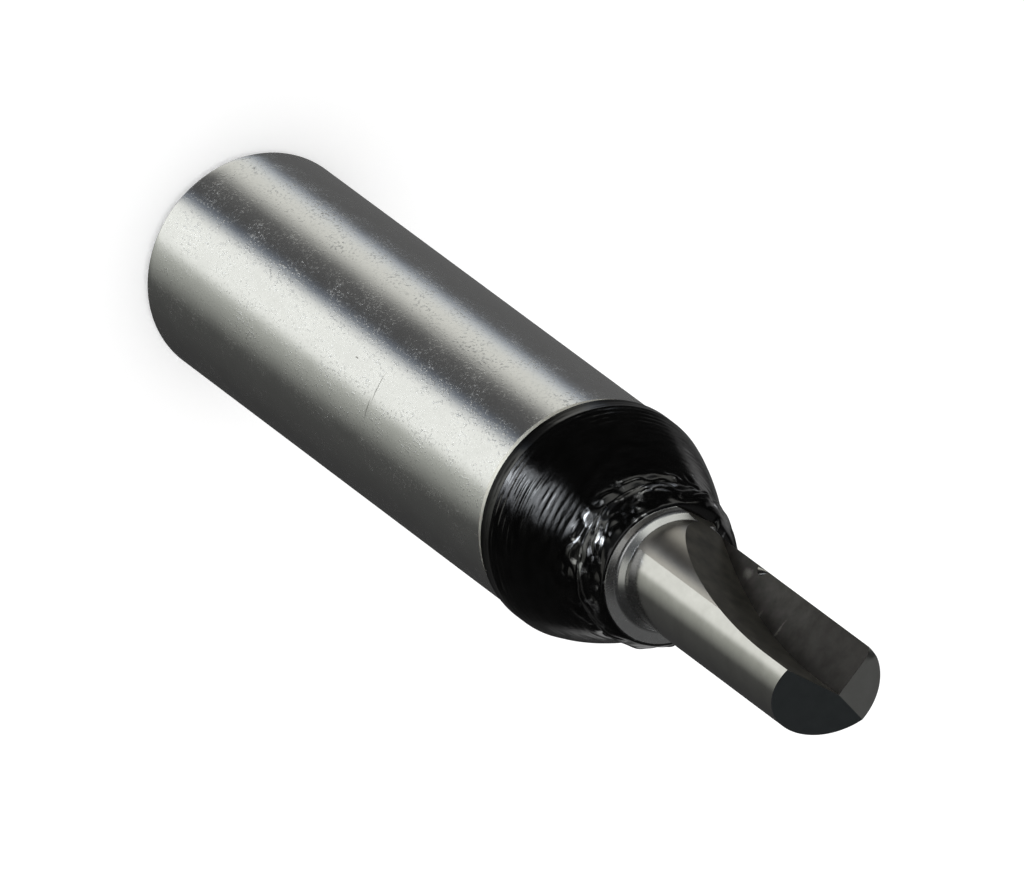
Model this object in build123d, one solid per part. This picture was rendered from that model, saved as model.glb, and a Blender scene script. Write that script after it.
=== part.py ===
from build123d import *
from math import cos, hypot, radians, sin, tan
import os

# Straight router bit: a solid carbide single-flute cutter, brazed into a short steel shank.
#
# Millimetres. The tool's axis is Z. The shank's back face lies on Z = 0 with its centre at the
# origin, and the cutting end points up. The rake face looks along +X and the cutting edge lies
# on the -Y side, so the tool cuts when it turns clockwise, seen from the shank.

# Shank
shank_dia = 12.70             # ground diameter that the collet grips
shank_length = 40.00          # back face to the end of the ground surface
back_chamfer = 0.50           # lead-in at the back end

# Nose, turned from bar a little larger than the ground shank
nose_allowance = 0.17         # radial stock left above the ground surface
nose_land = 1.10              # end of the ground surface to the end of the full-diameter land
nose_length = 6.85            # end of the ground surface to the nose's front face
nose_bulge = 0.22             # how far the flank swells out from a straight cone
nose_wall = 0.34              # wall between the socket and the flank, at the front face

# Carbide blank, its socket and the braze that fills the gap between them
blank_dia = 7.76              # round blank that the cutter is ground from
blank_grip = 13.0             # length of blank inside the socket
blank_bevel = 0.40            # bevel at the blank's back end
braze_film = 0.10             # thickness of the braze film in the socket
seat_gap = 0.02               # clearance on each side of the braze
collar_height = 2.26          # braze collar that stands on the nose's front face
collar_top_wall = 0.07        # collar's wall where it thins out round the blank
collar_swell = 0.24           # how far the collar's side swells out from a straight cone
collar_setback = 0.07         # collar's top, short of the blank's shoulder

# Cutter
cut_dia = 6.50                # circle that the cutting edge sweeps
cut_length = 17.95            # blank's shoulder to the end of the cutting edge
relief_offset = 0.24          # body's centre line, off the tool's axis towards the edge
rake_angle = 11.2             # hook of the rake face, degrees
root_fillet = 0.50            # between the body and the blank's shoulder
shoulder_break = 0.08         # edge break round the blank's shoulder

# Flute, ground by a wheel with a bevelled rim that runs straight along the tool
wheel_dia = 78.0              # wheel, measured at the rake face
wheel_bevel = 8.7             # lean of the flute's wall away from square, degrees
wall_foot = 0.26              # foot of the wall, past the axis towards the edge
full_depth = 2.25             # stretch of the flute at full depth, back from the tip

# End facets, which meet at the foot of the flute's wall
lip_relief = 9.0              # fall of the end behind the cutting lip, degrees
heel_clearance = 26.5         # fall of the end on the heel side, degrees
heel_tilt = 5.5               # cross slope of the heel facet, degrees

# Damage: one chip broken out of the cutting edge
chip_dia = 1.00               # round scoop
chip_from_tip = 12.40         # scoop's centre, back from the end of the cutting edge
chip_bite = 0.42              # depth of the scoop into the edge, along the rake face

SPARE = 5.0                   # how far a cutting shape runs past the piece that it cuts

shank_radius = shank_dia / 2
nose_radius = shank_radius + nose_allowance
blank_radius = blank_dia / 2
film_inner_radius = blank_radius + seat_gap
film_outer_radius = film_inner_radius + braze_film
socket_radius = film_outer_radius + seat_gap
nose_front_radius = socket_radius + nose_wall

nose_front_z = shank_length + nose_length
blank_back_z = nose_front_z - blank_grip
film_floor_z = blank_back_z - seat_gap
socket_floor_z = film_floor_z - braze_film - seat_gap
collar_base_z = nose_front_z + seat_gap
collar_top_z = collar_base_z + collar_height
shoulder_z = collar_top_z + collar_setback
tip_z = shoulder_z + cut_length

cut_radius = cut_dia / 2
rake_x = -cut_radius * sin(radians(rake_angle))
edge_y = -cut_radius * cos(radians(rake_angle))
body_radius = hypot(rake_x, edge_y + relief_offset)
web_corner = (rake_x, -wall_foot, tip_z)


def swelling_arc(start, end, swell):
    """Arc between two (radius, z) points that stands out from its chord by swell."""
    run, rise = end[0] - start[0], end[1] - start[1]
    chord = hypot(run, rise)
    middle = ((start[0] + end[0]) / 2 + swell * rise / chord,
              (start[1] + end[1]) / 2 - swell * run / chord)
    return ThreePointArc(start, middle, end)


def turned(*outline):
    """Solid turned about the Z axis from the lines and arcs of a closed (radius, z) outline."""
    return revolve(Plane.XZ * make_face(outline), Axis.Z)


def rod(radius, height):
    """Cylinder that stands on its origin."""
    return Cylinder(radius, height, align=(Align.CENTER, Align.CENTER, Align.MIN))


def make_shank():
    """Ground shank, convex nose and blind socket, turned from one bar."""
    land_end = (nose_radius, shank_length + nose_land)
    nose_edge = (nose_front_radius, nose_front_z)
    side = Polyline((0, 0), (shank_radius - back_chamfer, 0), (shank_radius, back_chamfer),
                    (shank_radius, shank_length), (nose_radius, shank_length + nose_allowance),
                    land_end)
    front = Polyline(nose_edge, (0, nose_front_z), (0, 0))
    bar = turned(side, swelling_arc(land_end, nose_edge, nose_bulge), front)
    socket = Pos(Z=socket_floor_z) * rod(socket_radius, nose_front_z - socket_floor_z + SPARE)
    return bar - socket


def make_braze_joint():
    """Braze that fills the socket round the blank and stands as a collar on the nose's front."""
    film_top = (film_outer_radius, collar_base_z)
    collar_edge = (nose_front_radius, collar_base_z)
    collar_top = (film_inner_radius + collar_top_wall, collar_top_z)
    film = Polyline((0, film_floor_z), (0, film_floor_z - braze_film),
                    (film_outer_radius, film_floor_z - braze_film), film_top, collar_edge)
    bore = Polyline(collar_top, (film_inner_radius, collar_top_z),
                    (film_inner_radius, film_floor_z), (0, film_floor_z))
    return turned(film, swelling_arc(collar_edge, collar_top, collar_swell), bore)


def make_blank():
    """Round blank with the eccentric cutter body standing on its shoulder."""
    grip = Pos(Z=blank_back_z) * rod(blank_radius, shoulder_z - blank_back_z)
    grip = chamfer(grip.edges().group_by(Axis.Z)[0], blank_bevel)
    grip = chamfer(grip.edges().group_by(Axis.Z)[-1], shoulder_break)
    body = Pos(0, -relief_offset, shoulder_z) * rod(body_radius, cut_length + SPARE)
    blank = grip + body
    root = blank.edges().filter_by(GeomType.CIRCLE).filter_by(
        lambda edge: abs(edge.radius - body_radius) < 1e-4
        and abs(edge.center().Z - shoulder_z) < 1e-4)
    return fillet(root, root_fillet)


def make_flute():
    """What the wheel takes away: its bevelled rim at the far end of its pass, and the pass."""
    depth = blank_radius + SPARE
    flare = depth * tan(radians(wheel_bevel))
    wheel_radius = wheel_dia / 2
    run_out_z = tip_z - full_depth
    wheel = Plane((rake_x, -wall_foot - wheel_radius, run_out_z), z_dir=(1, 0, 0)) * Cone(
        wheel_radius, wheel_radius + flare, depth,
        align=(Align.CENTER, Align.CENTER, Align.MIN))
    far_y = -blank_radius - SPARE
    section = Polyline((rake_x, far_y), (rake_x, -wall_foot), (rake_x + depth, flare - wall_foot),
                       (rake_x + depth, far_y), close=True)
    wheel_pass = Pos(Z=run_out_z) * extrude(make_face(section), full_depth + SPARE)
    return wheel + wheel_pass


def make_facet(slope_x, slope_y):
    """What one end facet takes away: all above a plane of these slopes at the web corner."""
    facet = Plane(web_corner, z_dir=(-slope_x, -slope_y, 1))
    width = 4 * (blank_radius + SPARE)
    return facet * Box(width, width, 2 * SPARE, align=(Align.CENTER, Align.CENTER, Align.MIN))


def make_chip():
    """Round scoop whose deepest point lies chip_bite in from the cutting edge."""
    scoop_radius = chip_dia / 2
    return Pos(rake_x, edge_y + chip_bite - scoop_radius, tip_z - chip_from_tip) * Sphere(
        scoop_radius)


def make_carbide_cutter():
    """Blank with its flute, end facets and chip."""
    lip_facet = make_facet(tan(radians(lip_relief)), 0)
    heel_facet = make_facet(tan(radians(heel_tilt)), -tan(radians(heel_clearance)))
    return make_blank() - make_flute() - lip_facet - heel_facet - make_chip()


nodes = {
    "shank": make_shank(),
    "braze_joint": make_braze_joint(),
    "carbide_cutter": make_carbide_cutter(),
}

os.makedirs("parts", exist_ok=True)
for name, shape in nodes.items():
    export_step(shape, f"parts/{name}.step")
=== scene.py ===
# %% [markdown]
# # A brazed router bit, dressed for its portrait
#
# The object is a straight router bit: a short ground steel shank, a convex nose under black lacquer,
# a lumpy collar of braze, and a single-flute carbide cutter. The solid model comes first and fixes
# every size. These cells give it the surfaces, finishes and light of the real tool.
#
# Lengths below are in millimetres, because that is how a tool drawing is dimensioned. They are turned
# into the metres that Blender works in where a mesh is made and where the camera is placed.

import bmesh
import bpy
import numpy as np
from mathutils import Matrix, Vector


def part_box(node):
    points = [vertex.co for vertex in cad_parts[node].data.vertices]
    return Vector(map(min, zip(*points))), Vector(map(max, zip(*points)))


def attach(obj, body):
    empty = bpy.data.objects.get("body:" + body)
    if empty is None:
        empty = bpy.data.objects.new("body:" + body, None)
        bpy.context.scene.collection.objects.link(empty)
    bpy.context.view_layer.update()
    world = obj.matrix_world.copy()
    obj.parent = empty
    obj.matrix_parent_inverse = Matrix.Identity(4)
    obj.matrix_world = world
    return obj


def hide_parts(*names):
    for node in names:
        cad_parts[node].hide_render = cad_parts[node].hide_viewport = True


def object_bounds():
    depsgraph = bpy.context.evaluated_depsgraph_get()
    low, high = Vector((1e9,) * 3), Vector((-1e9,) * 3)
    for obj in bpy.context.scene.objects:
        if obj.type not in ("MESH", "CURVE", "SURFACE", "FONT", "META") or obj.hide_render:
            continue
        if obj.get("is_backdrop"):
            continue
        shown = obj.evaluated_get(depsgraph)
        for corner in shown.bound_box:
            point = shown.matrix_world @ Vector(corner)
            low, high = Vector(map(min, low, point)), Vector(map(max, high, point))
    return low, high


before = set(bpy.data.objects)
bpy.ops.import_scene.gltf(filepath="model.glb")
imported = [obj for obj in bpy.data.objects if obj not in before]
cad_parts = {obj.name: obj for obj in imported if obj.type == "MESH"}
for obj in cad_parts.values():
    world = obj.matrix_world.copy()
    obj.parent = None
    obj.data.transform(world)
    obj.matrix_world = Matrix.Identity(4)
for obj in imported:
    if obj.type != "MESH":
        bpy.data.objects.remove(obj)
solid_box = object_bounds()
for solid in sorted(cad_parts):
    low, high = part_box(solid)
    print(solid, "z from", round(low.z * 1000, 2), "to", round(high.z * 1000, 2), "mm")

# %% [markdown]
# ## Helpers for meshes
#
# Every piece here is turned, ground or poured, so every piece is a net of points: rows run along the
# tool and columns run round it. A net is made as one numpy array and becomes a mesh in one call.
# Points that coincide, at a pole or where the flute runs out, are merged.

# %% Net of points to mesh


def net_faces(rows, columns):
    """Quads between neighbouring rows; the last column joins the first."""
    corner = np.arange(rows * columns).reshape(rows, columns)
    beside = np.roll(corner, -1, axis=1)
    quads = np.stack([corner[:-1], beside[:-1], beside[1:], corner[1:]], axis=-1)
    return quads.reshape(-1, 4)


MM = 0.001


def make_piece(name, points, faces, zones, sharp_degrees):
    """Mesh object from points in mm and quads, merged, with edges sharper than an angle."""
    mesh = bpy.data.meshes.new(name)
    mesh.from_pydata((points.reshape(-1, 3) * MM).tolist(), [], faces.tolist())
    mesh.polygons.foreach_set("material_index", np.asarray(zones, dtype=np.int32))
    work = bmesh.new()
    work.from_mesh(mesh)
    bmesh.ops.remove_doubles(work, verts=work.verts, dist=4e-7)
    bmesh.ops.dissolve_degenerate(work, edges=work.edges, dist=1e-7)
    bmesh.ops.recalc_face_normals(work, faces=work.faces)
    work.to_mesh(mesh)
    open_edges = sum(1 for edge in work.edges if len(edge.link_faces) != 2)
    work.free()
    mesh.shade_smooth()
    mesh.set_sharp_from_angle(angle=np.radians(sharp_degrees))
    piece = bpy.data.objects.new(name, mesh)
    bpy.context.scene.collection.objects.link(piece)
    print(name, "faces", len(mesh.polygons), "edges that aren't shared by two faces", open_edges)
    return piece


def line(start, end, count):
    """Points at equal steps from start to end, without the last one."""
    steps = np.arange(count)[:, None] / count
    return np.asarray(start) + steps * (np.asarray(end, dtype=float) - np.asarray(start))


def swelling_arc(start, end, swell, count):
    """Points on the arc through start and end whose middle stands out from the chord by swell:
    a circle of radius (half chord squared plus swell squared) over twice the swell."""
    start, end = np.asarray(start, dtype=float), np.asarray(end, dtype=float)
    chord = end - start
    length = np.hypot(*chord)
    radius = ((length / 2) ** 2 + swell**2) / (2 * swell)
    outward = np.array([chord[1], -chord[0]]) / length
    centre = (start + end) / 2 - outward * (radius - swell)
    half_angle = np.arcsin(length / 2 / radius)
    angle = -half_angle + 2 * half_angle * np.arange(count) / count
    along = chord / length
    return centre + radius * (np.cos(angle)[:, None] * outward + np.sin(angle)[:, None] * along)


def turned_net(outline, columns):
    """Turns a (radius, height) outline about the Z axis: x = r cos a, y = r sin a."""
    angle = 2 * np.pi * np.arange(columns) / columns
    radius, height = outline[:, 0, None], outline[:, 1, None]
    return np.stack([radius * np.cos(angle), radius * np.sin(angle),
                     height + 0 * angle], axis=-1)


def waves(seed, count, *coordinates):
    """Smooth random relief between about -1 and 1: a sum of sine waves whose directions and
    phases are drawn from a seeded generator. Coordinates are arrays, each already divided by the
    size of a lump in that direction."""
    draw = np.random.default_rng(seed)
    total = 0
    for _ in range(count):
        direction = draw.normal(size=len(coordinates))
        total = total + np.sin(sum(k * c for k, c in zip(direction, coordinates))
                               * 2.2 + draw.uniform(0, 2 * np.pi))
    return total / np.sqrt(count) / 1.4


# %% [markdown]
# ## Helpers for materials
#
# Colours are written as a screen shows them, in hex, and turned into the linear values that light
# adds up in. One function adds a shader node with its settings and its links.

# %% Colours and nodes


def linear(hex_colour):
    """sRGB hex to linear RGBA: (c + 0.055) / 1.055 to the power 2.4, or c / 12.92 near black."""
    c = np.array([int(hex_colour[i:i + 2], 16) for i in (1, 3, 5)]) / 255
    c = np.where(c <= 0.04045, c / 12.92, ((c + 0.055) / 1.055) ** 2.4)
    return (*c.tolist(), 1.0)


def add(tree, kind, inputs=None, ramp=None, **settings):
    """Adds a node: settings are its own, inputs are values or sockets to link, ramp its colours."""
    made = tree.nodes.new("ShaderNode" + kind)
    for key, value in settings.items():
        setattr(made, key, value)
    for key, value in (inputs or {}).items():
        if isinstance(value, bpy.types.NodeSocket):
            tree.links.new(value, made.inputs[key])
        else:
            made.inputs[key].default_value = value
    if ramp:
        stops = made.color_ramp.elements
        while len(stops) < len(ramp):
            stops.new(1.0)
        for stop, (place, colour) in zip(stops, ramp):
            stop.position = place
            stop.color = linear(colour)
    return made


def new_material(name):
    """Empty node material with its output node."""
    material = bpy.data.materials.new(name)
    material.use_nodes = True
    material.node_tree.nodes.clear()
    output = add(material.node_tree, "OutputMaterial")
    return material, material.node_tree, output


IN_MM = (1000, 1000, 1000)


def on_piece(tree, scale):
    """Object coordinates times a scale per axis: IN_MM counts in millimetres."""
    where = add(tree, "TexCoord").outputs["Object"]
    return add(tree, "Mapping", {"Vector": where, "Scale": scale}).outputs["Vector"]


# %% [markdown]
# ## Sizes
#
# The same numbers as the solid model's drawing. The shank stands on its back face at height zero and
# the cutter points up. The rake face looks along +X.

# %% Sizes
SHANK_RADIUS = 6.35
SHANK_LENGTH = 40.0
BACK_CHAMFER = 0.50
NOSE_RADIUS = 6.52
NOSE_STEP = 0.17
NOSE_LAND = 1.10
NOSE_LENGTH = 6.85
NOSE_BULGE = 0.22
NOSE_FRONT_RADIUS = 4.36
SOCKET_RADIUS = 4.02
BLANK_RADIUS = 3.88
BLANK_GRIP = 13.0
BLANK_BEVEL = 0.40
FILM_INNER_RADIUS = 3.90
FILM_OUTER_RADIUS = 4.00
FILM_THICKNESS = 0.10
SEAT_GAP = 0.02
COLLAR_HEIGHT = 2.26
COLLAR_SWELL = 0.24
COLLAR_TOP_WALL = 0.07
COLLAR_SETBACK = 0.07
CUT_RADIUS = 3.25
CUT_LENGTH = 17.95
RELIEF_OFFSET = 0.24
RAKE_ANGLE = np.radians(11.2)
CORNER_WEAR = 0.70
WEAR_SLOPE = 0.6
SHOULDER_BREAK = 0.08
WHEEL_RADIUS = 39.0
WHEEL_BEVEL = np.tan(np.radians(8.7))
WALL_FOOT = 0.26
FULL_DEPTH = 2.25
CHIP_RADIUS = 0.50
CHIP_FROM_TIP = 12.40
CHIP_BITE = 0.42
LIP_RELIEF = np.tan(np.radians(9.0))
HEEL_CLEARANCE = np.tan(np.radians(26.5))
HEEL_TILT = np.tan(np.radians(5.5))

NOSE_FRONT_Z = SHANK_LENGTH + NOSE_LENGTH
COLLAR_BASE_Z = NOSE_FRONT_Z + SEAT_GAP
COLLAR_TOP_Z = COLLAR_BASE_Z + COLLAR_HEIGHT
SHOULDER_Z = COLLAR_TOP_Z + COLLAR_SETBACK
TIP_Z = SHOULDER_Z + CUT_LENGTH
BLANK_BACK_Z = NOSE_FRONT_Z - BLANK_GRIP
FILM_FLOOR_Z = BLANK_BACK_Z - SEAT_GAP
SOCKET_FLOOR_Z = FILM_FLOOR_Z - 0.12
RAKE_X = -CUT_RADIUS * np.sin(RAKE_ANGLE)
EDGE_Y = -CUT_RADIUS * np.cos(RAKE_ANGLE)
BODY_RADIUS = np.hypot(RAKE_X, EDGE_Y + RELIEF_OFFSET)
print("tip at", round(TIP_Z, 2), "body radius", round(float(BODY_RADIUS), 3), "mm")

# %% [markdown]
# ## The camera
#
# A long lens from far away, as for a catalogue picture: the tool's sides stay nearly parallel. The
# camera looks down on the rake face and is rolled, so the shank runs away to the upper left.
#
# It could stand further off still. But a camera that goes round the tool with the same lens has to
# back away until the whole tool fits, and past 2.2 m it would lose sight of it.

# %% Camera
ELEVATION = np.radians(55.8)
ROLL = np.radians(36.71)
MM_PIXELS = 19.12
DISTANCE = 1900.0
IMAGE_WIDTH = 1024
AIM_RIGHT, AIM_UP = -78.3, 74.2

toward = np.array([np.cos(ELEVATION), 0.0, np.sin(ELEVATION)])
along = np.array([-np.sin(ELEVATION), 0.0, np.cos(ELEVATION)])
beside = np.array([0.0, 1.0, 0.0])
right = np.cos(ROLL) * along - np.sin(ROLL) * beside
above = -np.sin(ROLL) * along - np.cos(ROLL) * beside
aim = (np.array([0.0, 0.0, SHANK_LENGTH]) + AIM_RIGHT / MM_PIXELS * right
       + AIM_UP / MM_PIXELS * above)
place = (aim + DISTANCE * toward) * MM

camera = bpy.data.objects.new("portrait_camera", bpy.data.cameras.new("portrait_camera"))
bpy.context.scene.collection.objects.link(camera)
camera.data.sensor_width = 36.0
camera.data.lens = DISTANCE * MM_PIXELS * camera.data.sensor_width / IMAGE_WIDTH
camera.data.clip_end = 100.0
turn = Matrix((right, above, toward)).transposed().to_4x4()
camera.matrix_world = Matrix.Translation(Vector(place)) @ turn
bpy.context.scene.camera = camera
print("lens", round(camera.data.lens), "mm, camera", np.round(place, 3).tolist())

# %% [markdown]
# ## The shank
#
# A collet shank is turned, hardened and ground between the wheels of a centreless grinder. It could
# be a plain cylinder, but the chamfer at the back and the blind socket at the front are what makes
# it a shank, so it is one outline turned about the axis. The socket goes on down inside it.

# %% Shank
shank_outline = np.concatenate([
    line((0, 0), (SHANK_RADIUS - BACK_CHAMFER - 0.06, 0), 10),
    swelling_arc((SHANK_RADIUS - BACK_CHAMFER - 0.06, 0),
                 (SHANK_RADIUS - BACK_CHAMFER + 0.04, 0.04), 0.01, 4),
    line((SHANK_RADIUS - BACK_CHAMFER + 0.04, 0.04), (SHANK_RADIUS - 0.04, BACK_CHAMFER - 0.04), 6),
    swelling_arc((SHANK_RADIUS - 0.04, BACK_CHAMFER - 0.04),
                 (SHANK_RADIUS, BACK_CHAMFER + 0.06), 0.01, 4),
    line((SHANK_RADIUS, BACK_CHAMFER + 0.06), (SHANK_RADIUS, SHANK_LENGTH), 90),
    line((SHANK_RADIUS, SHANK_LENGTH), (SOCKET_RADIUS, SHANK_LENGTH), 2),
    line((SOCKET_RADIUS, SHANK_LENGTH), (SOCKET_RADIUS, SOCKET_FLOOR_Z), 4),
    line((SOCKET_RADIUS, SOCKET_FLOOR_Z), (0, SOCKET_FLOOR_Z), 3),
    [(0, SOCKET_FLOOR_Z)],
])
SHANK_COLUMNS = 384
shank_points = turned_net(shank_outline, SHANK_COLUMNS)
shank_faces = net_faces(len(shank_outline), SHANK_COLUMNS)
shank = make_piece("ground_shank", shank_points, shank_faces, np.zeros(len(shank_faces)), 25)

# %% [markdown]
# ## The nose
#
# The nose is left as the lathe's tool cut it: fine rings with a pitch of about 0.4 mm, which the
# lacquer fills only partly. It could be smooth with rings drawn by a bump map, but the rings catch the
# light as broken bands, so they are real here: the outline dips by a few hundredths between rings.

# %% Nose
RING_PITCH = 0.38
RING_DEPTH = 0.027

nose_side = np.concatenate([
    line((SHANK_RADIUS, SHANK_LENGTH), (NOSE_RADIUS, SHANK_LENGTH + NOSE_STEP), 4),
    line((NOSE_RADIUS, SHANK_LENGTH + NOSE_STEP), (NOSE_RADIUS, SHANK_LENGTH + NOSE_LAND), 12),
    swelling_arc((NOSE_RADIUS, SHANK_LENGTH + NOSE_LAND), (NOSE_FRONT_RADIUS, NOSE_FRONT_Z),
                 NOSE_BULGE, 150),
])
nose_outline = np.concatenate([
    line((SOCKET_RADIUS, SHANK_LENGTH), (SHANK_RADIUS, SHANK_LENGTH), 2),
    nose_side,
    line((NOSE_FRONT_RADIUS, NOSE_FRONT_Z), (SOCKET_RADIUS, NOSE_FRONT_Z), 4),
    line((SOCKET_RADIUS, NOSE_FRONT_Z), (SOCKET_RADIUS, SHANK_LENGTH), 4),
    [(SOCKET_RADIUS, SHANK_LENGTH)],
])
NOSE_COLUMNS = 420
nose_points = turned_net(nose_outline, NOSE_COLUMNS)
nose_angle = np.arctan2(nose_points[..., 1], nose_points[..., 0])
nose_height = nose_points[..., 2]
on_flank = np.clip((nose_height - SHANK_LENGTH - 0.3) / 0.4, 0, 1)
on_flank = on_flank * np.clip((NOSE_FRONT_Z - nose_height) / 0.3, 0, 1)
on_flank = on_flank * (np.hypot(nose_points[..., 0], nose_points[..., 1]) > SOCKET_RADIUS + 0.05)
nose_ring_x, nose_ring_y = 6.0 * np.cos(nose_angle), 6.0 * np.sin(nose_angle)
wander = 0.9 * waves(5, 6, nose_ring_x / 3.0, nose_ring_y / 3.0, nose_height / 0.9)
ring_phase = 2 * np.pi * (nose_height / RING_PITCH) + wander
filled = np.clip(0.60 + 0.65 * waves(8, 10, nose_ring_x / 1.1, nose_ring_y / 1.1,
                                     nose_height / 0.5), 0.12, 1.0)
filled = filled * (1.0 - 0.55 * np.clip((nose_height - 43.0) / 2.0, 0, 1))
filled = filled * (0.4 + 0.6 * np.clip(1.6 - np.abs(nose_angle - 0.25) / 0.35, 0, 1))
rings = -RING_DEPTH * filled * (0.5 - 0.5 * np.cos(ring_phase)) ** 1.5
film = 0.007 * waves(6, 8, nose_ring_x / 2.0, nose_ring_y / 2.0, nose_height / 1.2)
at_front = np.clip((nose_height - (NOSE_FRONT_Z - 1.25)) / 0.9, 0, 1) ** 2
spatter = np.abs(waves(31, 12, 4.6 * np.cos(nose_angle) / 0.9, 4.6 * np.sin(nose_angle) / 0.9,
                       nose_height / 0.7))
nose_relief = on_flank * (rings * (1 - at_front) + film + 0.15 * at_front * spatter)
nose_points[..., 0] += nose_relief * np.cos(nose_angle)
nose_points[..., 1] += nose_relief * np.sin(nose_angle)
nose_faces = net_faces(len(nose_outline), NOSE_COLUMNS)
nose = make_piece("lacquered_nose", nose_points, nose_faces, np.zeros(len(nose_faces)), 40)
print("relief on the nose from", round(float(nose_relief.min()), 3), "to",
      round(float(nose_relief.max()), 3), "mm")

# %% [markdown]
# ## The braze
#
# The cutter's blank is brazed into the socket. The filler creeps up round the blank and freezes in a
# collar with runs and drops, which then gets the same black lacquer as the nose. Its section is turned
# from the solid's own outline, and a sum of slow waves swells it here and there.
#
# The wheel that grinds the flute also grazes the collar's place, so its path is worked out here: the
# braze lies against the ground wall there, and laps a little way over the blank's shoulder elsewhere.
#
# The blank's shoulder runs up to the body in three steps: a hollow, a short cone and a small radius.
# Their profile is kept as the distance out from the body's skin against the height.

# %% Root profile and path of the wheel
CONE_TILT = np.radians(38)
CONE_LENGTH = 0.34
HOLLOW_RADIUS, CORNER_RADIUS = 0.34, 0.05
cone_steps = np.linspace(0.2, 1, 5)
hollow = np.linspace(np.pi / 2, CONE_TILT, 13)
corner = np.linspace(CONE_TILT, 0, 5)[1:]
steps_in = np.concatenate([
    HOLLOW_RADIUS * np.cos(hollow),
    HOLLOW_RADIUS * np.cos(CONE_TILT) + CONE_LENGTH * np.sin(CONE_TILT) * cone_steps,
])
root_height = np.concatenate([
    HOLLOW_RADIUS * (1 - np.sin(hollow)),
    HOLLOW_RADIUS * (1 - np.sin(CONE_TILT)) + CONE_LENGTH * np.cos(CONE_TILT) * cone_steps,
])
steps_in = np.append(steps_in, steps_in[-1] + CORNER_RADIUS * (np.cos(corner) - np.cos(CONE_TILT)))
root_height = np.append(root_height,
                        root_height[-1] + CORNER_RADIUS * (np.sin(CONE_TILT) - np.sin(corner)))
root_out = steps_in[-1] - steps_in
ROOT_HEIGHT = root_height[-1]
print("the root reaches", round(float(root_out[0]), 3), "mm out and", round(float(ROOT_HEIGHT), 3),
      "mm up")


def wall_line(height):
    """Height of the wheel's rim above the tool's centre plane, at the rake face, and its slope per
    mm of x. Past the end of full depth the rim rises away as radius minus the square root of
    (radius squared minus distance squared), for the bevelled rim at two depths."""
    past = np.clip(TIP_Z - FULL_DEPTH - height, 0, None)
    reach = 3.0
    near = WHEEL_RADIUS
    far = WHEEL_RADIUS + reach * WHEEL_BEVEL
    foot = -WALL_FOOT - (near - np.sqrt(near**2 - past**2))
    out = -WALL_FOOT + reach * WHEEL_BEVEL - (far - np.sqrt(far**2 - past**2))
    return foot, (out - foot) / reach


# %% Braze collar
LIP_ROWS = 12
FLOOR_ROWS, SOCKET_ROWS, FRONT_ROWS = 3, 4, 3
HEAP_START, HEAP_RISE = -165, 30
HEAP_END, HEAP_FALL = -92, 6

collar_side = swelling_arc((NOSE_FRONT_RADIUS, COLLAR_BASE_Z),
                           (FILM_INNER_RADIUS + COLLAR_TOP_WALL, COLLAR_TOP_Z), COLLAR_SWELL, 60)
braze_outline = np.concatenate([
    line((0, FILM_FLOOR_Z - FILM_THICKNESS), (FILM_OUTER_RADIUS, FILM_FLOOR_Z - FILM_THICKNESS), FLOOR_ROWS),
    line((FILM_OUTER_RADIUS, FILM_FLOOR_Z - FILM_THICKNESS), (FILM_OUTER_RADIUS, COLLAR_BASE_Z), SOCKET_ROWS),
    line((FILM_OUTER_RADIUS, COLLAR_BASE_Z), (NOSE_FRONT_RADIUS, COLLAR_BASE_Z), FRONT_ROWS),
    collar_side,
    line((FILM_INNER_RADIUS + COLLAR_TOP_WALL, COLLAR_TOP_Z), (FILM_INNER_RADIUS, COLLAR_TOP_Z), LIP_ROWS),
    line((FILM_INNER_RADIUS, COLLAR_TOP_Z), (FILM_INNER_RADIUS, FILM_FLOOR_Z), 4),
    line((FILM_INNER_RADIUS, FILM_FLOOR_Z), (0, FILM_FLOOR_Z), 3),
    [(0, FILM_FLOOR_Z)],
])
BRAZE_COLUMNS = 480
braze_points = turned_net(braze_outline, BRAZE_COLUMNS)
braze_angle = np.arctan2(braze_points[..., 1], braze_points[..., 0])
braze_height = braze_points[..., 2]
up_collar = (braze_height - COLLAR_BASE_Z) / COLLAR_HEIGHT
outside = (np.hypot(braze_points[..., 0], braze_points[..., 1]) > FILM_INNER_RADIUS + 0.02)
swells = np.clip(up_collar, 0, 1) * np.clip(1 - up_collar, 0, 1) * 4 * outside
ring_x, ring_y = 4.2 * np.cos(braze_angle), 4.2 * np.sin(braze_angle)
lumps = 0.10 * waves(21, 10, ring_x / 1.5, ring_y / 1.5, braze_height / 1.3)
drops = 0.11 * np.abs(waves(22, 12, ring_x / 0.85, ring_y / 0.85, braze_height / 0.75))
beads = 0.014 * waves(23, 14, ring_x / 0.45, ring_y / 0.45, braze_height / 0.4)
braze_relief = swells**0.6 * (lumps + drops + beads)
braze_relief *= 1 - 0.5 * np.clip(1.6 - np.abs(braze_angle - 1.75) / 0.5, 0, 1)
braze_relief *= 1 - 0.35 * np.clip(1.6 - np.abs(braze_angle + 0.85) / 0.4, 0, 1)
braze_points[..., 0] += braze_relief * np.cos(braze_angle)
braze_points[..., 1] += braze_relief * np.sin(braze_angle)

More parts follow.
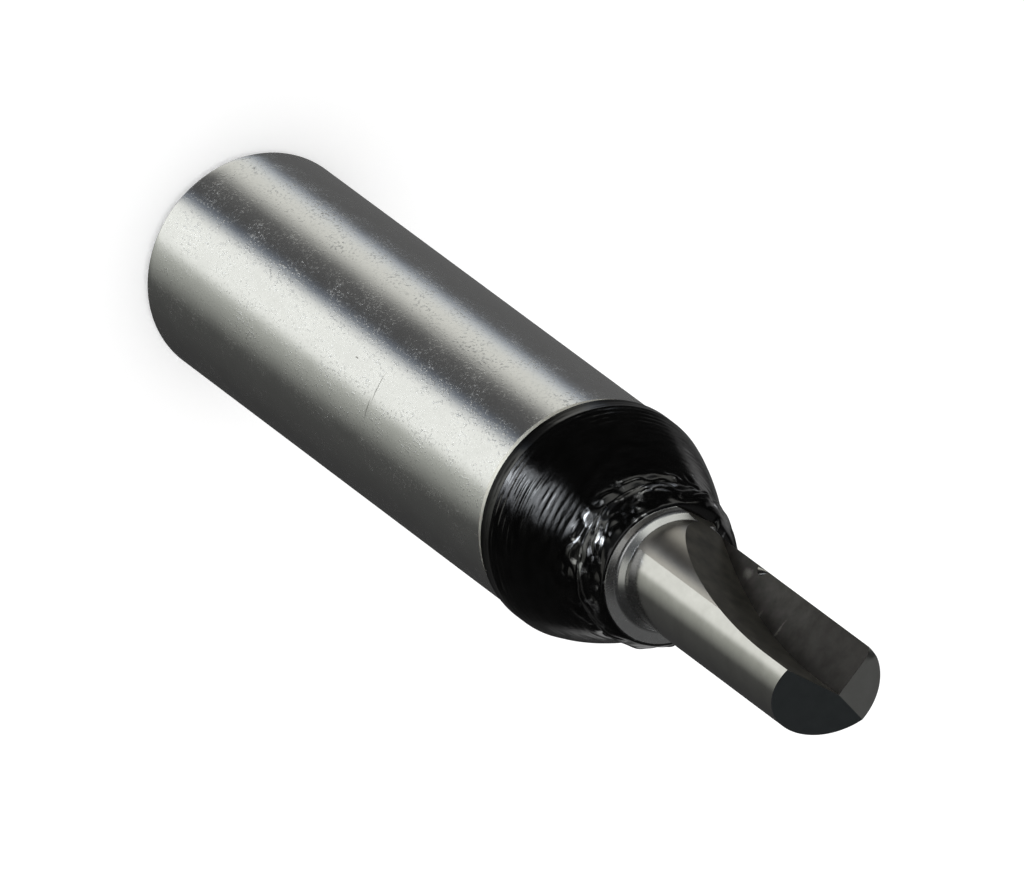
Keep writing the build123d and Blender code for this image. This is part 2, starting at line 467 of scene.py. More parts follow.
lip_turn = 2 * np.pi * np.arange(BRAZE_COLUMNS) / BRAZE_COLUMNS
lip_turn = np.where(lip_turn > np.pi, lip_turn - 2 * np.pi, lip_turn)
lip_degrees = np.degrees(lip_turn)
lip_wave = waves(41, 8, 3.8 * np.cos(lip_turn) / 0.9, 3.8 * np.sin(lip_turn) / 0.9)
heap = np.clip((lip_degrees - HEAP_START) / HEAP_RISE, 0, 1)
heap = heap * np.clip((HEAP_END - lip_degrees) / HEAP_FALL, 0, 1)
foot_top, slope_top = wall_line(COLLAR_TOP_Z + 0.05)
ground_away = np.sin(lip_turn) - slope_top * np.cos(lip_turn)
to_wall = (foot_top - slope_top * RAKE_X) / np.where(ground_away < -0.3, ground_away, -0.3)
lip_reach = BLANK_RADIUS - 0.11 - 0.025 * lip_wave - 0.44 * heap
in_flute = (ground_away < -0.3) & (to_wall < lip_reach) & (to_wall * np.cos(lip_turn) > RAKE_X)
off_body = np.hypot(lip_reach * np.cos(lip_turn),
                    lip_reach * np.sin(lip_turn) + RELIEF_OFFSET) - BODY_RADIUS
root_rise = np.interp(off_body, root_out[::-1], root_height[::-1])
lip_end = np.where(in_flute, COLLAR_TOP_Z + 0.02, SHOULDER_Z + root_rise - 0.03)
lip_reach = np.where(in_flute, to_wall - 0.03, lip_reach)
lip_hump = 0.035 + 0.09 * heap + 0.012 * lip_wave
across_lip = (np.arange(LIP_ROWS) / (LIP_ROWS - 1))[:, None]
lip_radius = (FILM_INNER_RADIUS + COLLAR_TOP_WALL
              + (lip_reach - FILM_INNER_RADIUS - COLLAR_TOP_WALL) * across_lip)
lip_first = FLOOR_ROWS + SOCKET_ROWS + FRONT_ROWS + len(collar_side)
braze_points[lip_first:lip_first + LIP_ROWS, :, 0] = lip_radius * np.cos(lip_turn)
braze_points[lip_first:lip_first + LIP_ROWS, :, 1] = lip_radius * np.sin(lip_turn)
braze_points[lip_first:lip_first + LIP_ROWS, :, 2] = (
    COLLAR_TOP_Z + (lip_end - COLLAR_TOP_Z) * across_lip
    + lip_hump * 4 * across_lip * (1 - across_lip))
print("the lip reaches in to between", round(float(lip_reach.min()), 2), "and",
      round(float(lip_reach.max()), 2), "mm from the axis")
braze_faces = net_faces(len(braze_outline), BRAZE_COLUMNS)
braze = make_piece("braze_collar", braze_points, braze_faces, np.zeros(len(braze_faces)), 50)
print("relief on the collar from", round(float(braze_relief.min()), 3), "to",
      round(float(braze_relief.max()), 3), "mm")

# %% [markdown]
# ## The cutter
#
# The cutter is ground from a round rod of carbide. Its body is a cylinder set off the axis, so the
# back clears the cut. A wheel with a bevelled rim then runs along it and leaves two surfaces: the flat
# rake face, and a wall that fades out towards the root along the wheel's own radius.
#
# It could be cut with booleans, but then its mesh is uneven and its reflections ripple. Instead, each
# row is a cross-section of the finished tool: along the rake face, up the wall, and round the
# cylinder. Where the wheel doesn't reach, the first two shrink to nothing.

# %% Cross-sections of the cutter


def end_height(x, y):
    """The two end facets: the lower of two planes that pass through the foot of the wall, less the
    wear at the cutting corner, which falls off with the square of the distance."""
    lip = TIP_Z + LIP_RELIEF * (x - RAKE_X)
    heel = TIP_Z + HEEL_TILT * (x - RAKE_X) - HEEL_CLEARANCE * (y + WALL_FOOT)
    corner = np.clip(1 - np.hypot(x - RAKE_X, y - EDGE_Y) / CORNER_WEAR, 0, 1)
    return np.minimum(lip, heel) - WEAR_SLOPE * CORNER_WEAR * corner**2


RIDGE_SLOPE = -(LIP_RELIEF - HEEL_TILT) / HEEL_CLEARANCE
ridge_run = np.array([-1.0, -RIDGE_SLOPE])
ridge_run = ridge_run / np.hypot(*ridge_run)
from_centre = np.array([RAKE_X, -WALL_FOOT + RELIEF_OFFSET])
ahead = from_centre @ ridge_run
ridge_length = -ahead + np.sqrt(ahead**2 - from_centre @ from_centre + BODY_RADIUS**2)
ridge_end = from_centre + ridge_length * ridge_run
RIDGE_ANGLE = float(np.arctan2(ridge_end[1], ridge_end[0]))
print("ridge between the end facets meets the back at", round(np.degrees(RIDGE_ANGLE), 1), "degrees")

RAKE_STEPS, WALL_STEPS, LAND_STEPS, BACK_STEPS, RELIEF_STEPS = 44, 26, 36, 84, 96
LAND_END = np.radians(2.0)


def cross_sections(height, radius, centre_y):
    """Closed sections, one row per height: a circle less what lies in front of the rake plane and
    below the wall's line. Where line and circle cross comes from the quadratic for
    x squared plus (line minus centre) squared = radius squared."""
    foot, slope = wall_line(height)
    level = foot - slope * RAKE_X - centre_y
    a = 1 + slope**2
    half_b = slope * level
    inside = half_b**2 - a * (level**2 - radius**2)
    cut = (inside > 0)
    root = np.sqrt(np.clip(inside, 0, None))
    x_out = (-half_b + root) / a
    x_in = (-half_b - root) / a
    touch = -np.pi / 2 + np.arctan(slope)
    from_rake = cut & (x_in < RAKE_X)
    x_foot = np.where(from_rake, RAKE_X, x_in)
    x_foot = np.where(cut, x_foot, radius * np.cos(touch))
    x_out = np.where(cut, x_out, radius * np.cos(touch))
    y_foot = np.where(cut, foot + slope * (x_foot - RAKE_X), centre_y + radius * np.sin(touch))
    y_out = np.where(cut, foot + slope * (x_out - RAKE_X), centre_y + radius * np.sin(touch))
    half = np.sqrt(np.clip(radius**2 - RAKE_X**2, 0, None))
    y_edge = np.where(from_rake, centre_y - half, y_foot)
    first = np.arctan2(y_out - centre_y, x_out)
    last = np.arctan2(y_edge - centre_y, x_foot) + 2 * np.pi
    last = np.where(cut, last, first + 2 * np.pi)
    rake = (np.arange(RAKE_STEPS) / RAKE_STEPS) ** 1.5
    wall = np.arange(WALL_STEPS) / WALL_STEPS
    land = np.arange(LAND_STEPS) / LAND_STEPS
    back = np.arange(BACK_STEPS) / BACK_STEPS
    relief = 1 - (1 - np.arange(RELIEF_STEPS) / RELIEF_STEPS) ** 1.5
    row = [v[:, None] for v in (x_foot, y_foot, x_out, y_out, y_edge, first, last, radius, centre_y)]
    x_foot, y_foot, x_out, y_out, y_edge, first, last, radius, centre_y = row
    middle = np.clip(RIDGE_ANGLE, first, last) + 0 * first
    land_end = np.clip(LAND_END, first, middle) + 0 * first
    swing = np.concatenate([first + (land_end - first) * land, land_end + (middle - land_end) * back,
                            middle + (last - middle) * relief], 1)
    x = np.concatenate([x_foot + 0 * rake, x_foot + (x_out - x_foot) * wall,
                        radius * np.cos(swing)], 1)
    y = np.concatenate([y_edge + (y_foot - y_edge) * rake, y_foot + (y_out - y_foot) * wall,
                        centre_y + radius * np.sin(swing)], 1)
    return x, y


# %% Rows of the cutter, from the blank's back end to the end of the full-depth flute
NEAR_CHIP = 0.62
body_heights = np.unique(np.round(np.concatenate([
    np.arange(SHOULDER_Z + ROOT_HEIGHT, TIP_Z - FULL_DEPTH, 0.12),
    np.arange(TIP_Z - CHIP_FROM_TIP - NEAR_CHIP, TIP_Z - CHIP_FROM_TIP + NEAR_CHIP, 0.035),
    [TIP_Z - FULL_DEPTH],
]), 3))
rows = np.concatenate([
    [(BLANK_BACK_Z, 0.0, 0.0), (BLANK_BACK_Z, BLANK_RADIUS - BLANK_BEVEL, 0.0),
     (BLANK_BACK_Z + BLANK_BEVEL, BLANK_RADIUS, 0.0)],
    np.stack([np.linspace(COLLAR_BASE_Z, SHOULDER_Z - SHOULDER_BREAK, 16),
              np.full(16, BLANK_RADIUS), np.zeros(16)], 1),
    np.stack([np.linspace(SHOULDER_Z - SHOULDER_BREAK / 2, SHOULDER_Z, 2),
              BLANK_RADIUS - np.linspace(SHOULDER_BREAK / 2, SHOULDER_BREAK, 2), np.zeros(2)], 1),
    np.stack([SHOULDER_Z + root_height, BODY_RADIUS + root_out,
              np.full(len(root_out), -RELIEF_OFFSET)], 1),
    np.stack([body_heights[1:], np.full(len(body_heights) - 1, BODY_RADIUS),
              np.full(len(body_heights) - 1, -RELIEF_OFFSET)], 1),
])
section_x, section_y = cross_sections(rows[:, 0], rows[:, 1], rows[:, 2])
section_z = rows[:, 0, None] + 0 * section_x
print("cutter rows", section_x.shape)

# %% [markdown]
# The last 2.25 mm keep one cross-section, and its points rise to the end facets. The facets are fans
# of straight lines from the foot of the wall, and the ridge between them is one of those lines.

# %% Tip of the cutter
TIP_ROWS, FAN_ROWS = 24, 12
last_x, last_y = section_x[-1], section_y[-1]
climb = (np.arange(1, TIP_ROWS + 1) / TIP_ROWS)[:, None]
tip_x = last_x + 0 * climb
tip_y = last_y + 0 * climb
tip_z = section_z[-1] + (end_height(last_x, last_y) - section_z[-1]) * climb
shrink = 1 - (np.arange(1, FAN_ROWS + 1) / FAN_ROWS)[:, None]
fan_x = RAKE_X + (last_x - RAKE_X) * shrink
fan_y = -WALL_FOOT + (last_y + WALL_FOOT) * shrink
fan_z = end_height(fan_x, fan_y)
cutter_points = np.stack([np.concatenate([section_x, tip_x, fan_x]),
                          np.concatenate([section_y, tip_y, fan_y]),
                          np.concatenate([section_z, tip_z, fan_z])], axis=-1)

# %% [markdown]
# One chip is broken out of the cutting edge. Carbide breaks in a shell shape, so every point inside a
# small sphere is pushed out to the sphere's skin.

# %% Chip in the edge
chip_centre = np.array([RAKE_X, EDGE_Y + CHIP_BITE - CHIP_RADIUS, TIP_Z - CHIP_FROM_TIP])
offset = cutter_points - chip_centre
reach = np.linalg.norm(offset, axis=-1, keepdims=True)
bitten = (reach < CHIP_RADIUS)
flat_offset = offset[..., 1:]
flat_reach = np.clip((flat_offset**2).sum(-1), 0, CHIP_RADIUS**2)
scooped = cutter_points.copy()
scooped[..., 0] = chip_centre[0] - np.sqrt(CHIP_RADIUS**2 - flat_reach)
on_rake = np.zeros(cutter_points.shape[1], dtype=bool)
on_rake[:RAKE_STEPS] = True
deep = bitten[..., 0] & on_rake
cutter_points[deep] = scooped[deep]
push = bitten[..., 0] & ~on_rake
cutter_points[push] = (chip_centre + offset * CHIP_RADIUS / np.clip(reach, 1e-6, None))[push]
print("points moved by the chip:", int(bitten.sum()))

# %% Cutter mesh and its zones
total_rows, total_columns = cutter_points.shape[:2]
cutter_faces = net_faces(total_rows, total_columns)
row_number = np.arange(total_rows - 1)[:, None] + np.zeros(total_columns, dtype=int)
column_number = np.arange(total_columns) + 0 * row_number
face_height = cutter_points[:-1, :, 2]
land_column = RAKE_STEPS + WALL_STEPS
back_column = land_column + LAND_STEPS
ridge_column = back_column + BACK_STEPS
fan_start = len(rows) + TIP_ROWS - 1
round_side = (column_number >= land_column)
above_root = (face_height > SHOULDER_Z + ROOT_HEIGHT - 0.01)
POLISHED, RAKE, WALL, HEEL, LIP, LAND, ROOT = range(7)
zones = np.full((total_rows - 1, total_columns), POLISHED)
zones[column_number < RAKE_STEPS] = RAKE
zones[~round_side & (column_number >= RAKE_STEPS)] = WALL
zones[round_side & (column_number < back_column) & above_root] = LAND
zones[round_side & ~above_root & (face_height > SHOULDER_Z - 0.05)] = ROOT
zones[(row_number >= fan_start) & (column_number < ridge_column)] = HEEL
zones[(row_number >= fan_start) & (column_number >= ridge_column)] = LIP
cutter = make_piece("ground_cutter", cutter_points, cutter_faces, zones.ravel(), 24)

# %% [markdown]
# ## Marks on a surface
#
# A used tool has its own few marks: a hairline round the shank, dents, stains on the rake face. Each is
# a small ellipse on the surface, frayed by a little noise, and each is placed in millimetres.

# %% Marks


def marks(tree, ellipses, fray):
    """1 inside any ellipse, 0 outside, on the side that faces +X. An ellipse is its centre in y and
    z and its half width in y and z. The test is the length of the offset over the half widths."""
    where = add(tree, "TexCoord").outputs["Object"]
    rough_edge = add(tree, "TexNoise", {"Vector": where, "Scale": 5000.0, "Detail": 2.0})
    shift = add(tree, "VectorMath", {0: rough_edge.outputs["Color"], 1: (0.5, 0.5, 0.5)},
                operation="SUBTRACT")
    shift = add(tree, "VectorMath", {0: shift.outputs[0], 1: (fray, fray, fray)},
                operation="MULTIPLY")
    spot = add(tree, "VectorMath", {0: where, 1: IN_MM}, operation="MULTIPLY")
    spot = add(tree, "VectorMath", {0: spot.outputs[0], 1: shift.outputs[0]}, operation="ADD")
    total = None
    for centre_y, centre_z, half_y, half_z in ellipses:
        away = add(tree, "VectorMath", {0: spot.outputs[0], 1: (0, centre_y, centre_z)},
                   operation="SUBTRACT")
        away = add(tree, "VectorMath", {0: away.outputs[0], 1: (0, 1 / half_y, 1 / half_z)},
                   operation="MULTIPLY")
        away = add(tree, "VectorMath", {0: away.outputs[0]}, operation="LENGTH")
        inside = add(tree, "MapRange", {"Value": away.outputs["Value"], "From Min": 0.3,
                                        "From Max": 1.2, "To Min": 1.0, "To Max": 0.0})
        mark = inside.outputs["Result"]
        total = mark if total is None else add(tree, "Math", {0: total, 1: mark},
                                               operation="MAXIMUM").outputs[0]
    side = add(tree, "SeparateXYZ", {"Vector": spot.outputs[0]}).outputs["X"]
    front = add(tree, "Math", {0: side, 1: -0.8}, operation="GREATER_THAN").outputs[0]
    return add(tree, "Math", {0: total, 1: front}, operation="MULTIPLY").outputs[0]


# %% [markdown]
# ## Ground tool steel
#
# Hardened steel from a centreless grinder. The wheel leaves hair-fine scratches that run round the
# shank, too fine to see one by one. They keep the edges of each highlight crisp across the shank. Tiny
# pits tilt the surface a few degrees, and show as light specks where the steel mirrors something dark.

# %% Steel material
steel, tree, output = new_material("ground_tool_steel")
grind = add(tree, "TexNoise", {"Vector": on_piece(tree, (350, 350, 7000)),
                               "Scale": 1.0, "Detail": 3.0, "Roughness": 0.6})
specks = add(tree, "TexNoise", {"Vector": on_piece(tree, (6200, 6200, 5200)),
                                "Scale": 1.0, "Detail": 2.0, "Roughness": 0.55})
patches = add(tree, "TexNoise", {"Vector": on_piece(tree, (800, 800, 420)),
                                 "Scale": 1.0, "Detail": 4.0, "Roughness": 0.6})
pits = add(tree, "MapRange", {"Value": specks.outputs["Fac"], "From Min": 0.53,
                              "From Max": 0.66, "To Min": 0.0, "To Max": 1.0})
worn = add(tree, "MapRange", {"Value": patches.outputs["Fac"], "From Min": 0.42,
                              "From Max": 0.66, "To Min": 0.25, "To Max": 1.0})
sown = add(tree, "Math", {0: pits.outputs["Result"], 1: worn.outputs["Result"]},
           operation="MULTIPLY").outputs[0]
knocks = marks(tree, [(1.3, 26.1, 1.0, 0.035), (2.5, 25.9, 0.6, 0.045), (0.67, 23.0, 0.05, 0.18)],
               0.10)
steel_colour = add(tree, "ValToRGB", {"Fac": patches.outputs["Fac"]},
                   ramp=[(0.30, "#CECECD"), (0.70, "#D9D9D8")])
marked = add(tree, "Mix", {0: knocks, 6: steel_colour.outputs["Color"], 7: linear("#7A7875")},
             data_type="RGBA")
# From 39.56 mm up to the nose, the shank gets a light cream colour and a rougher finish. This is a painted
# highlight along the shank's front edge.
up_shank = add(tree, "SeparateXYZ", {"Vector": on_piece(tree, IN_MM)}).outputs["Z"]
painted_rim_highlight_mask = add(tree, "MapRange", {"Value": up_shank, "From Min": 39.56, "From Max": 39.64},
             interpolation_type="SMOOTHSTEP").outputs["Result"]
steel_with_painted_rim_highlight = add(tree, "Mix", {0: painted_rim_highlight_mask, 6: marked.outputs[2], 7: linear("#F2EFE6")}, data_type="RGBA")
steel_rough = add(tree, "MapRange", {"Value": patches.outputs["Fac"], "From Min": 0.3,
                                     "From Max": 0.7, "To Min": 0.155, "To Max": 0.20})
speck_rough = add(tree, "Mix", {0: sown, 2: steel_rough.outputs["Result"], 3: 0.42},
                  data_type="FLOAT")
end_rough = add(tree, "Mix", {0: painted_rim_highlight_mask, 2: speck_rough.outputs[0], 3: 0.52}, data_type="FLOAT")
grind_bump = add(tree, "Bump", {"Height": grind.outputs["Fac"], "Strength": 0.5,
                                "Distance": 0.000004})
pit_bump = add(tree, "Bump", {"Height": sown, "Strength": 1.0, "Distance": 0.0000035,
                              "Normal": grind_bump.outputs["Normal"]})
knock_bump = add(tree, "Bump", {"Height": knocks, "Strength": 1.0, "Distance": 0.000003,
                                "Normal": pit_bump.outputs["Normal"]}, invert=True)
steel_shader = add(tree, "BsdfPrincipled", {
    "Base Color": steel_with_painted_rim_highlight.outputs[2], "Metallic": 1.0,
    "Roughness": end_rough.outputs[0], "Normal": knock_bump.outputs["Normal"]})
tree.links.new(steel_shader.outputs["BSDF"], output.inputs["Surface"])
shank.data.materials.append(steel)

# %% [markdown]
# ## Black lacquer
#
# The nose and the braze are dipped or brushed with a quick black lacquer against rust. It is a thin
# glossy film, so it mirrors lamps in small broken glints and is nearly black elsewhere. Round the braze
# it has chipped and run thin, and a few drops of bare, duller braze show.

# %% Lacquer materials


def lacquer_material(name, rough_low, rough_high, drag_depth):
    """Glossy black film. Brush drag is a noise stretched round the tool; it moves the roughness
    between two values and the surface by a few hundredths of a millimetre. On the nose's land the
    film is thin and dull. From 46.2 mm up, bare braze shows where a second noise is high, and more
    of it inside the drops, which are ellipses placed in millimetres."""
    material, tree, output = new_material(name)
    drag = add(tree, "TexNoise", {"Vector": on_piece(tree, (900, 900, 2200)),
                                  "Scale": 1.0, "Detail": 4.0, "Roughness": 0.55})
    rough = add(tree, "MapRange", {"Value": drag.outputs["Fac"], "From Min": 0.3,
                                   "From Max": 0.7, "To Min": rough_low, "To Max": rough_high})
    colour = add(tree, "ValToRGB", {"Fac": drag.outputs["Fac"]},
                 ramp=[(0.35, "#020202"), (0.7, "#070707")])
    relief = add(tree, "Bump", {"Height": drag.outputs["Fac"], "Strength": 0.8,
                                "Distance": drag_depth})
    up_nose = add(tree, "SeparateXYZ", {"Vector": on_piece(tree, IN_MM)}).outputs["Z"]
    gloss = add(tree, "MapRange", {"Value": up_nose, "From Min": 40.45, "From Max": 41.15,
                                   "To Min": 0.06, "To Max": 0.5})
    spots = add(tree, "TexNoise", {"Vector": on_piece(tree, (1500, 1500, 1500)),
                                   "Scale": 1.0, "Detail": 2.0, "Roughness": 0.5})
    near_braze = add(tree, "MapRange", {"Value": up_nose, "From Min": 45.2, "From Max": 46.2,
                                        "To Min": -0.3, "To Max": 0.0}).outputs["Result"]
    drops = marks(tree, [(0.2, 46.7, 0.60, 0.42), (0.95, 48.4, 0.70, 0.55), (2.0, 47.4, 0.20, 0.20),
                         (-2.65, 47.1, 0.40, 0.12)], 0.25)
    spots = add(tree, "Math", {0: spots.outputs["Fac"], 1: near_braze}, operation="ADD").outputs[0]
    spots = add(tree, "Math", {0: drops, 1: 0.19, 2: spots}, operation="MULTIPLY_ADD").outputs[0]
    bare = add(tree, "MapRange", {"Value": spots, "From Min": 0.60,
                                  "From Max": 0.62}).outputs["Result"]
    shine = add(tree, "MapRange", {"Value": spots, "From Min": 0.61,
                                   "From Max": 0.70}).outputs["Result"]
    coat = add(tree, "Mix", {0: shine, 6: colour.outputs["Color"], 7: linear("#D0D1D3")},
               data_type="RGBA").outputs[2]
    dull = add(tree, "Mix", {0: shine, 2: rough.outputs["Result"], 3: 0.27}).outputs[0]
    shader = add(tree, "BsdfPrincipled", {
        "Base Color": coat, "IOR": 1.53, "Metallic": bare,
        "Specular IOR Level": gloss.outputs["Result"],
        "Roughness": dull, "Normal": relief.outputs["Normal"]})
    tree.links.new(shader.outputs["BSDF"], output.inputs["Surface"])
    return material


nose.data.materials.append(lacquer_material("brushed_black_lacquer", 0.11, 0.20, 0.00003))
braze.data.materials.append(lacquer_material("pooled_black_lacquer", 0.12, 0.20, 0.000015))

# %% [markdown]
# ## Ground carbide
#
# Tungsten carbide in cobalt, ground with diamond. The back is nearly polished. The flute is dull and
# brown-grey, with stains and small scratches, and so is the strip of the back that it borders. The
# end facets are fresh from the wheel.

# %% Carbide materials


def carbide_material(name, dark, light, rough_low, rough_high, scale, bump, stains=(),
                     painted_shading=(1.0, 1.0)):
    """Metallic carbide whose colour and roughness wander between two values over a noise, with
    light stains where they are given. The painted shading scales the colour at 56 mm and at 64 mm
    of height, and in a straight line between them: painted light where it lifts the colour and
    painted shade where it lowers it."""
    material, tree, output = new_material(name)
    cloud = add(tree, "TexNoise", {"Vector": on_piece(tree, scale), "Scale": 1.0,
                                   "Detail": 5.0, "Roughness": 0.6})
    colour = add(tree, "ValToRGB", {"Fac": cloud.outputs["Fac"]},
                 ramp=[(0.32, dark), (0.68, light)]).outputs["Color"]
    if stains:
        colour = add(tree, "Mix", {0: marks(tree, stains, 0.35), 6: colour, 7: linear("#6E6B66")},
                     data_type="RGBA").outputs[2]
    # Painted light and shade: the colour is scaled up or down along the height of the tool.
    if painted_shading != (1.0, 1.0):
        up_tool = add(tree, "SeparateXYZ", {"Vector": on_piece(tree, IN_MM)}).outputs["Z"]
        painted_shading_factor = add(tree, "MapRange", {"Value": up_tool, "From Min": 56.0, "From Max": 64.0,
                                        "To Min": painted_shading[0], "To Max": painted_shading[1]}).outputs["Result"]
        colour = add(tree, "VectorMath", {0: colour, "Scale": painted_shading_factor}, operation="SCALE").outputs[0]
    rough = add(tree, "MapRange", {"Value": cloud.outputs["Fac"], "From Min": 0.3,
                                   "From Max": 0.7, "To Min": rough_low, "To Max": rough_high})
    relief = add(tree, "Bump", {"Height": cloud.outputs["Fac"], "Strength": bump,
                                "Distance": 0.00002})
    shader = add(tree, "BsdfPrincipled", {
        "Base Color": colour, "Metallic": 1.0,
        "Roughness": rough.outputs["Result"], "Normal": relief.outputs["Normal"]})
    tree.links.new(shader.outputs["BSDF"], output.inputs["Surface"])
    return material


polished_carbide = carbide_material("polished_carbide", "#B9B8B5", "#C5C4C1", 0.13, 0.18,
                                    (900, 900, 900), 0.04)
# The rake's colour is painted 1.6 times lighter at 56 mm, where the wall shades it, and 0.92 times as light
# at 64 mm. That is painted light towards the root and a little painted shade towards the tip.
dull_carbide = carbide_material("dull_rake_carbide", "#363431", "#4F4C49", 0.45, 0.62,
                                (1100, 1100, 1100), 0.5,
                                [(-1.1, 59.25, 0.60, 0.10), (-0.4, 59.9, 0.14, 0.60),
                                 (-2.5, 53.9, 0.30, 0.45), (-1.0, 57.0, 0.40, 0.15)],
                                (1.6, 0.92))
wall_carbide = carbide_material("dull_wall_carbide", "#6E6C68", "#928F87", 0.42, 0.55,
                                (1100, 1100, 1100), 0.4)
heel_carbide = carbide_material("heel_facet_carbide", "#80878A", "#868D90", 0.28, 0.30,
                                (1300, 1300, 1300), 0.0)
lip_carbide = carbide_material("lip_facet_carbide", "#ABACA8", "#B3B4B1", 0.28, 0.30,
                               (1300, 1300, 1300), 0.0)
land_carbide = carbide_material("dull_land_carbide", "#A09C96", "#ABA7A1", 0.28, 0.33,
                                (900, 900, 900), 0.15)
root_carbide = carbide_material("matt_root_carbide", "#C2C3C3", "#CACBCB", 0.24, 0.29,
                                (1300, 1300, 1300), 0.08)
# in the order of the cutter's zones
for finish in (polished_carbide, dull_carbide, wall_carbide, heel_carbide, lip_carbide,
               land_carbide, root_carbide):
    cutter.data.materials.append(finish)

# %% [markdown]
# ## Which solid each piece stands for
#
# Every piece rides on the tool's one body and takes the place of a solid.

# %% Pieces and solids
for piece, solid, finish in ((shank, "shank", "ground_steel"), (nose, "shank", "lacquered_braze"),
                             (braze, "braze_joint", "lacquered_braze"),
                             (cutter, "carbide_cutter", "carbide")):
    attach(piece, "root")
    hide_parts(solid)
    print(piece.name, "stands for", solid)

# %% [markdown]
# ## Floor
#
# The bit stands on its back face on a plain white floor. The floor adds a little of its own light to
# what the camera sees, so paper white comes out white and the soft shadow stays. Metal doesn't mirror
# it, because the studio round it does that work.

# %% Floor
floor_mesh = bpy.data.meshes.new("floor")
floor_mesh.from_pydata([(-4, -4, 0), (4, -4, 0), (4, 4, 0), (-4, 4, 0)], [], [(0, 1, 2, 3)])
floor = bpy.data.objects.new("floor", floor_mesh)
bpy.context.scene.collection.objects.link(floor)
paper, tree, output = new_material("white_paper")
matt = add(tree, "BsdfDiffuse", {"Color": (0.80, 0.80, 0.80, 1.0)})
seen = add(tree, "LightPath").outputs["Is Camera Ray"]
lift = add(tree, "Emission", {"Color": (1.0, 1.0, 1.0, 1.0),
                              "Strength": add(tree, "Math", {0: seen, 1: 0.35},
                                              operation="MULTIPLY").outputs[0]})
both = add(tree, "AddShader", {0: matt.outputs[0], 1: lift.outputs[0]})
tree.links.new(both.outputs[0], output.inputs["Surface"])
floor_mesh.materials.append(paper)
floor.visible_glossy = False
floor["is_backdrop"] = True

# %% [markdown]
# ## Studio
#
# Ground metal shows the studio more than itself. This studio is a dark room with tall softboxes. Each
# is a patch of the world on one storey of the studio. The patch is given in degrees round the tool and
# the storey in degrees above or below it, each with an edge that rises and one that falls. Matt
# surfaces see a plain even sky instead.

# %% World
world = bpy.data.worlds.new("studio")
bpy.context.scene.world = world
world.use_nodes = True
tree = world.node_tree
tree.nodes.clear()
output = add(tree, "OutputWorld")
ray = add(tree, "TexCoord").outputs["Generated"]


def band(angle, rise, fall, shape):
    """1 between the rising edge and the falling edge, and 0 outside them."""
    up = add(tree, "MapRange", {"Value": angle, "From Min": rise[0], "From Max": rise[1]},
             interpolation_type=shape)
    down = add(tree, "MapRange", {"Value": angle, "From Min": fall[0], "From Max": fall[1],
                                  "To Min": 1.0, "To Max": 0.0}, interpolation_type=shape)
    return add(tree, "Math", {0: up.outputs["Result"], 1: down.outputs["Result"]},
               operation="MULTIPLY").outputs[0]


DEGREES = 57.2958


def round_tool(facing):
    """Direction of the ray round Z, in degrees from the way the studio's part faces."""
    turned = add(tree, "VectorRotate", {"Vector": ray, "Angle": -np.radians(facing)},
                 rotation_type="Z_AXIS")
    part = add(tree, "SeparateXYZ", {"Vector": turned.outputs[0]})
    angle = add(tree, "Math", {0: part.outputs["Y"], 1: part.outputs["X"]}, operation="ARCTAN2")
    return add(tree, "Math", {0: angle.outputs[0], 1: DEGREES}, operation="MULTIPLY").outputs[0]


def softbox(across, rise, fall, storey, level, tint, shape="SMOOTHSTEP"):
    """Patch of light between two edges in azimuth, on one storey of the studio."""
    mask = add(tree, "Math", {0: band(across, rise, fall, shape), 1: storey},
               operation="MULTIPLY").outputs[0]
    amount = [level * c for c in tint]
    return add(tree, "VectorMath", {0: mask, 1: amount}, operation="MULTIPLY").outputs[0]


def together(parts):
    """Sum of the patches."""
    total = parts[0]
    for part in parts[1:]:
        total = add(tree, "VectorMath", {0: total, 1: part}, operation="ADD").outputs[0]
    return total


rise_of_ray = add(tree, "Math", {0: add(tree, "SeparateXYZ", {"Vector": ray}).outputs["Z"]},
                  operation="ARCSINE")
height = add(tree, "Math", {0: rise_of_ray.outputs[0], 1: DEGREES}, operation="MULTIPLY").outputs[0]
front, back = round_tool(0), round_tool(180)
everywhere = band(height, (-91, -90), (90, 91), "LINEAR")
low = band(height, (-91, -90), (-50, -40), "SMOOTHSTEP")
lamp_storey = band(height, (-36, -28), (-14, -5), "SMOOTHSTEP")
bulb_storey = band(height, (-36, -31), (-26, -21), "SMOOTHSTEP")
middle_storey = band(height, (-44, -30), (-8, 6), "SMOOTHSTEP")
root_storey = band(height, (42, 50), (62, 70), "SMOOTHSTEP")
glint_storey = band(height, (4, 9), (22, 32), "SMOOTHSTEP")
shelf = band(height, (0, 5), (15, 26), "SMOOTHSTEP")
upper_shelf = band(height, (6, 14), (28, 42), "SMOOTHSTEP")
upper = band(height, (2, 10), (46, 60), "SMOOTHSTEP")
ceiling = band(height, (10, 30), (60, 90), "SMOOTHSTEP")

NEUTRAL = (1.0, 1.0, 1.0)
WARM = (1.0, 1.0, 0.92)
OLIVE = (0.97, 1.0, 0.91)
BLUE = (0.70, 0.95, 1.40)
COOL = (0.95, 1.0, 1.06)
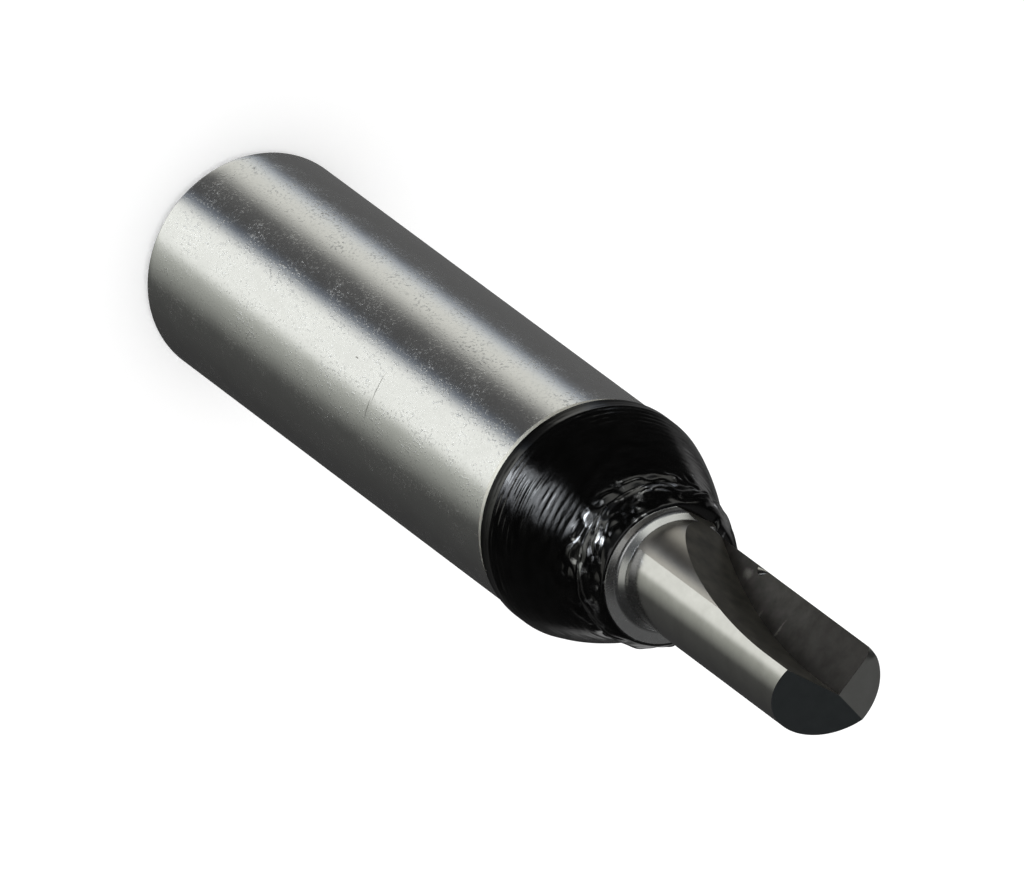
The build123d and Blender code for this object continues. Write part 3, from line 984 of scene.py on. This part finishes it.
# each light: the way it faces, its two edges, its storey, its level and its tint
lights = [
    # room, with a weak glow low down
    softbox(front, (-181, -180), (180, 181), everywhere, 0.020, NEUTRAL),
    softbox(front, (-181, -180), (180, 181), low, 0.026, NEUTRAL),
    softbox(front, (-181, -178), (-60, 20), low, 0.085, NEUTRAL),
    softbox(front, (20, 60), (60, 150), low, 0.047, OLIVE),
    # wide front softbox, crisp on one edge and long and warm on the other
    softbox(front, (-16, -3), (31, 45), low, 0.60, NEUTRAL),
    softbox(front, (-16, 0), (36, 78), low, 0.62, OLIVE, "LINEAR"),
    softbox(front, (-24, -14), (-12, -4), low, 0.12, BLUE),
    # side softbox
    softbox(front, (-99, -79), (-70, -42), low, 0.80, WARM),
    softbox(front, (-103, -92), (-90, -76), low, 0.16, BLUE),
    # upper side and front, which only the root and the end facets mirror
    softbox(front, (-105, -88), (-62, -50), shelf, 0.95, WARM),
    softbox(front, (-62, -50), (-30, -4), upper_shelf, 1.0, WARM),
    softbox(front, (-100, -70), (-40, 0), upper, 0.16, COOL),
    softbox(front, (-50, -10), (0, 50), upper, 0.11, COOL),
    # lamp over the nose
    softbox(front, (-6, 4), (20, 34), lamp_storey, 3.4, COOL),
    softbox(front, (4, 8), (14, 20), bulb_storey, 7.0, COOL),
    softbox(front, (22, 34), (56, 72), glint_storey, 0.65, WARM),
    softbox(front, (-30, -14), (36, 60), root_storey, 1.0, NEUTRAL),
    # two softboxes behind, for the other sides
    softbox(back, (-50, -36), (-24, -10), middle_storey, 0.9, NEUTRAL),
    softbox(back, (24, 38), (46, 60), middle_storey, 0.5, NEUTRAL),
    # overhead
    softbox(back, (-60, -10), (10, 60), ceiling, 0.112, NEUTRAL),
]
mirrored = together(lights)
path = add(tree, "LightPath")
even = add(tree, "Mix", {0: path.outputs["Is Glossy Ray"], 6: (0.78, 0.78, 0.78, 1.0), 7: mirrored},
           data_type="RGBA")
shown = add(tree, "Mix", {0: path.outputs["Is Camera Ray"], 6: even.outputs[2],
                          7: (1.0, 1.0, 1.0, 1.0)}, data_type="RGBA")
sky = add(tree, "Background", {"Color": shown.outputs[2], "Strength": 1.0})
tree.links.new(sky.outputs[0], output.inputs["Surface"])

# %% [markdown]
# A large lamp overhead gives the floor its soft shadow. Metal doesn't mirror it.

# %% Lamp
lamp_data = bpy.data.lights.new("overhead_lamp", "AREA")
lamp_data.shape = "DISK"
lamp_data.size = 0.8
lamp_data.energy = 2.0
lamp = bpy.data.objects.new("overhead_lamp", lamp_data)
bpy.context.scene.collection.objects.link(lamp)
lamp.location = (0.0, 0.05, 0.80)
lamp.rotation_euler = (Vector((0, 0, 0.03)) - Vector(lamp.location)).to_track_quat("-Z", "Y").to_euler()
lamp.visible_glossy = False

# %% View settings
bpy.context.scene.view_settings.view_transform = "Standard"

# %% Sizes of the solids and of the dressed model
dressed_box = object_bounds()
for label, (low, high) in (("solids", solid_box), ("dressed", dressed_box)):
    print(label, [round(v * 1000, 2) for v in low], [round(v * 1000, 2) for v in high])
